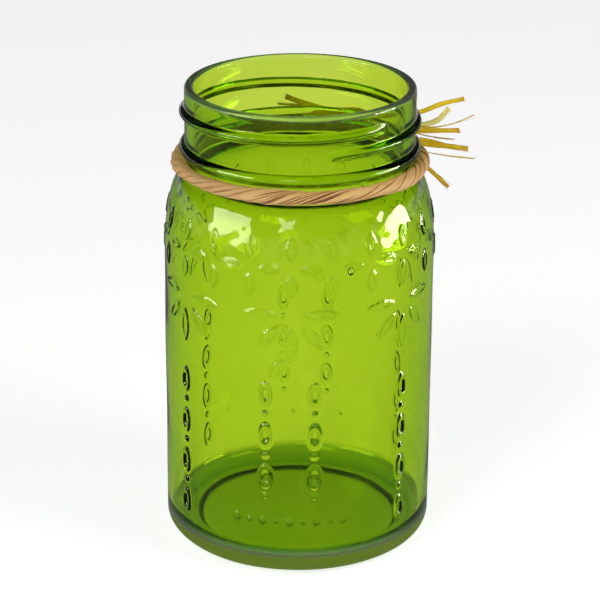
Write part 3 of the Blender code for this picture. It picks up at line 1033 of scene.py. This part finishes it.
def makeJar(v):
    outline = jarOutline(v)
    radii, heights = np.array([point[:2] for point in outline]).T
    parts = np.array([point[2] for point in outline])
    tangent = unit(np.gradient(np.stack([radii, heights], axis=-1), axis=0))
    normal = np.stack([tangent[:, 1], -tangent[:, 0]], axis=-1)   # away from the glass
    low, high = patternValues["reach"]
    fine = np.flatnonzero((parts == "side") & (low * mm < heights) & (heights < high * mm))
    blocks, faces, edges, rows, total = [], [], [], [], 0
    for group, columns in (
        (np.arange(1, fine[0]), v["columns"]), (fine, v["fineColumns"]),
        (np.arange(fine[-1] + 1, len(outline) - 1), v["columns"]),
    ):
        angles = np.arange(columns) / columns * math.tau - math.pi / 2
        push, edge = wallPush(angles, heights[group], parts[group], group is fine, v)
        r = radii[group][:, None] + push * normal[group, 0][:, None]
        h = heights[group][:, None] + push * normal[group, 1][:, None]
        grid = np.stack([r * np.cos(angles), r * np.sin(angles), h], axis=-1)
        blocks.append(grid.reshape(-1, 3))
        edges.append(edge.reshape(-1))
        rows += [(total + i * columns, columns) for i in range(len(group))]
        total += len(group) * columns
    for below, above in zip(rows, rows[1:]):
        faces += joinRows(below, above)
    for height, (start, count), flip in (
        (heights[0], rows[0], True), (heights[-1], rows[-1], False),
    ):
        # a fan closes the middle of the underside and of the inner floor
        blocks.append(np.array([[0, 0, height]]))
        i = np.arange(count)
        fan = np.stack([start + i, start + (i + 1) % count, np.full(count, total)], axis=-1)
        faces.append(fan[:, ::-1] if flip else fan)
        total += 1
    for bubble in bubbleValues["bubbles"]:
        points, shell = bubbleShell(bubble, total, bubbleValues, v)
        blocks.append(points)
        faces += shell
        total += len(points)
    verts = np.concatenate(blocks)
    verts[:, 2] = np.clip(verts[:, 2], 0, jarHeight)
    edges.append(np.zeros(total - sum(len(edge) for edge in edges)))
    # the stipple, and the painted outline shade along the pattern's edges
    shares = {"stipple": stippleShare(verts, v), "edge": np.concatenate(edges)}
    jar = meshObject("glass_jar_visual", verts, faces, glassMaterial(glassValues), shares)
    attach(jar, "jar")
    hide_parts("glass_jar")


makeJar(jarValues)
print("jar made")


studioValues = {
    "floor": (0.45, 0.45, 0.45),
    "floorReach": 6.0,
    "floorDrop": 0.2 * mm,
    "floorRoughness": 0.9,
    "floorShine": 0.1,
    "floorGlow": 0.78,          # the table is lit from below
    "horizon": 0.85,            # brightness of the room's wall
    "ceiling": 0.03,
    "edge": (0.0, 0.12),        # heights, as sines, between which the wall turns to ceiling
    "card": 0.22,               # share of the wall's brightness that is mirrored from below
    "cardEdge": (-0.14, -0.05), # heights, as sines, between which that turns to the whole
    "lightsAim": (0, 0, 0.1),
    "panels": (
        # name, place, width, height, strength in watts, and whether it lights the floor too
        ("keyPanel", (-0.45, -0.75, 0.95), 0.40, 0.40, 6.5, True),
        ("fillPanel", (0.75, -0.35, 0.80), 0.40, 0.40, 5, True),
        ("leftWindow", (-0.79, -0.42, 0.27), 0.62, 0.36, 9, False),
        ("rightWindow", (0.89, -0.02, 0.15), 0.46, 0.30, 9, False),
        ("frontWindow", (-0.17, -0.87, 0.40), 0.24, 0.22, 1.5, False),
    ),
}


def makeStudio(values):
    floorMesh = bpy.data.meshes.new("floor")
    reach = values["floorReach"]
    floorMesh.from_pydata(
        [(-reach, -reach, 0), (reach, -reach, 0), (reach, reach, 0), (-reach, reach, 0)],
        [], [(0, 1, 2, 3)],
    )
    floor = addObject("floor", floorMesh)
    paper, _, _, shader = newMaterial("paper")
    setInputs(shader, {
        "Base Color": (*values["floor"], 1), "Roughness": values["floorRoughness"],
        "Specular IOR Level": values["floorShine"],
        "Emission Color": (1, 1, 1, 1), "Emission Strength": values["floorGlow"],
    })
    floorMesh.materials.append(paper)
    floor.location.z = -values["floorDrop"]
    floor.visible_glossy = False      # a dark card keeps the table's white off the glass
    world = bpy.data.worlds.new("studio")
    world.use_nodes = True
    nodes, links = world.node_tree.nodes, world.node_tree.links
    place = nodes.new("ShaderNodeTexCoord")
    split = nodes.new("ShaderNodeSeparateXYZ")
    links.new(place.outputs["Generated"], split.inputs["Vector"])
    both = nodes.new("ShaderNodeMath")
    both.operation = "MULTIPLY"
    for socket, edge, below, above in (
        (0, values["edge"], values["horizon"], values["ceiling"]),
        (1, values["cardEdge"], values["card"], 1),
    ):
        fade = nodes.new("ShaderNodeMapRange")
        fade.interpolation_type = "SMOOTHSTEP"
        setInputs(fade, {
            "From Min": edge[0], "From Max": edge[1], "To Min": below, "To Max": above,
        })
        links.new(split.outputs["Z"], fade.inputs["Value"])
        links.new(fade.outputs["Result"], both.inputs[socket])
    links.new(both.outputs["Value"], nodes["Background"].inputs["Strength"])
    setInputs(nodes["Background"], {"Color": (1, 1, 1, 1)})
    bpy.context.scene.world = world
    for name, place, width, height, watts, lightsFloor in values["panels"]:
        light = bpy.data.lights.new(name, "AREA")
        light.shape = "RECTANGLE"
        light.size, light.size_y = width, height
        light.energy = watts
        holder = addObject(name, light)
        holder.location = place
        holder.visible_diffuse = lightsFloor
        holder.visible_glossy = not lightsFloor
        holder.visible_camera = False
        aim = Vector(values["lightsAim"]) - Vector(place)
        holder.rotation_euler = aim.to_track_quat("-Z", "Y").to_euler()
    bpy.context.scene.view_settings.view_transform = "Standard"


makeStudio(studioValues)
print("studio made")
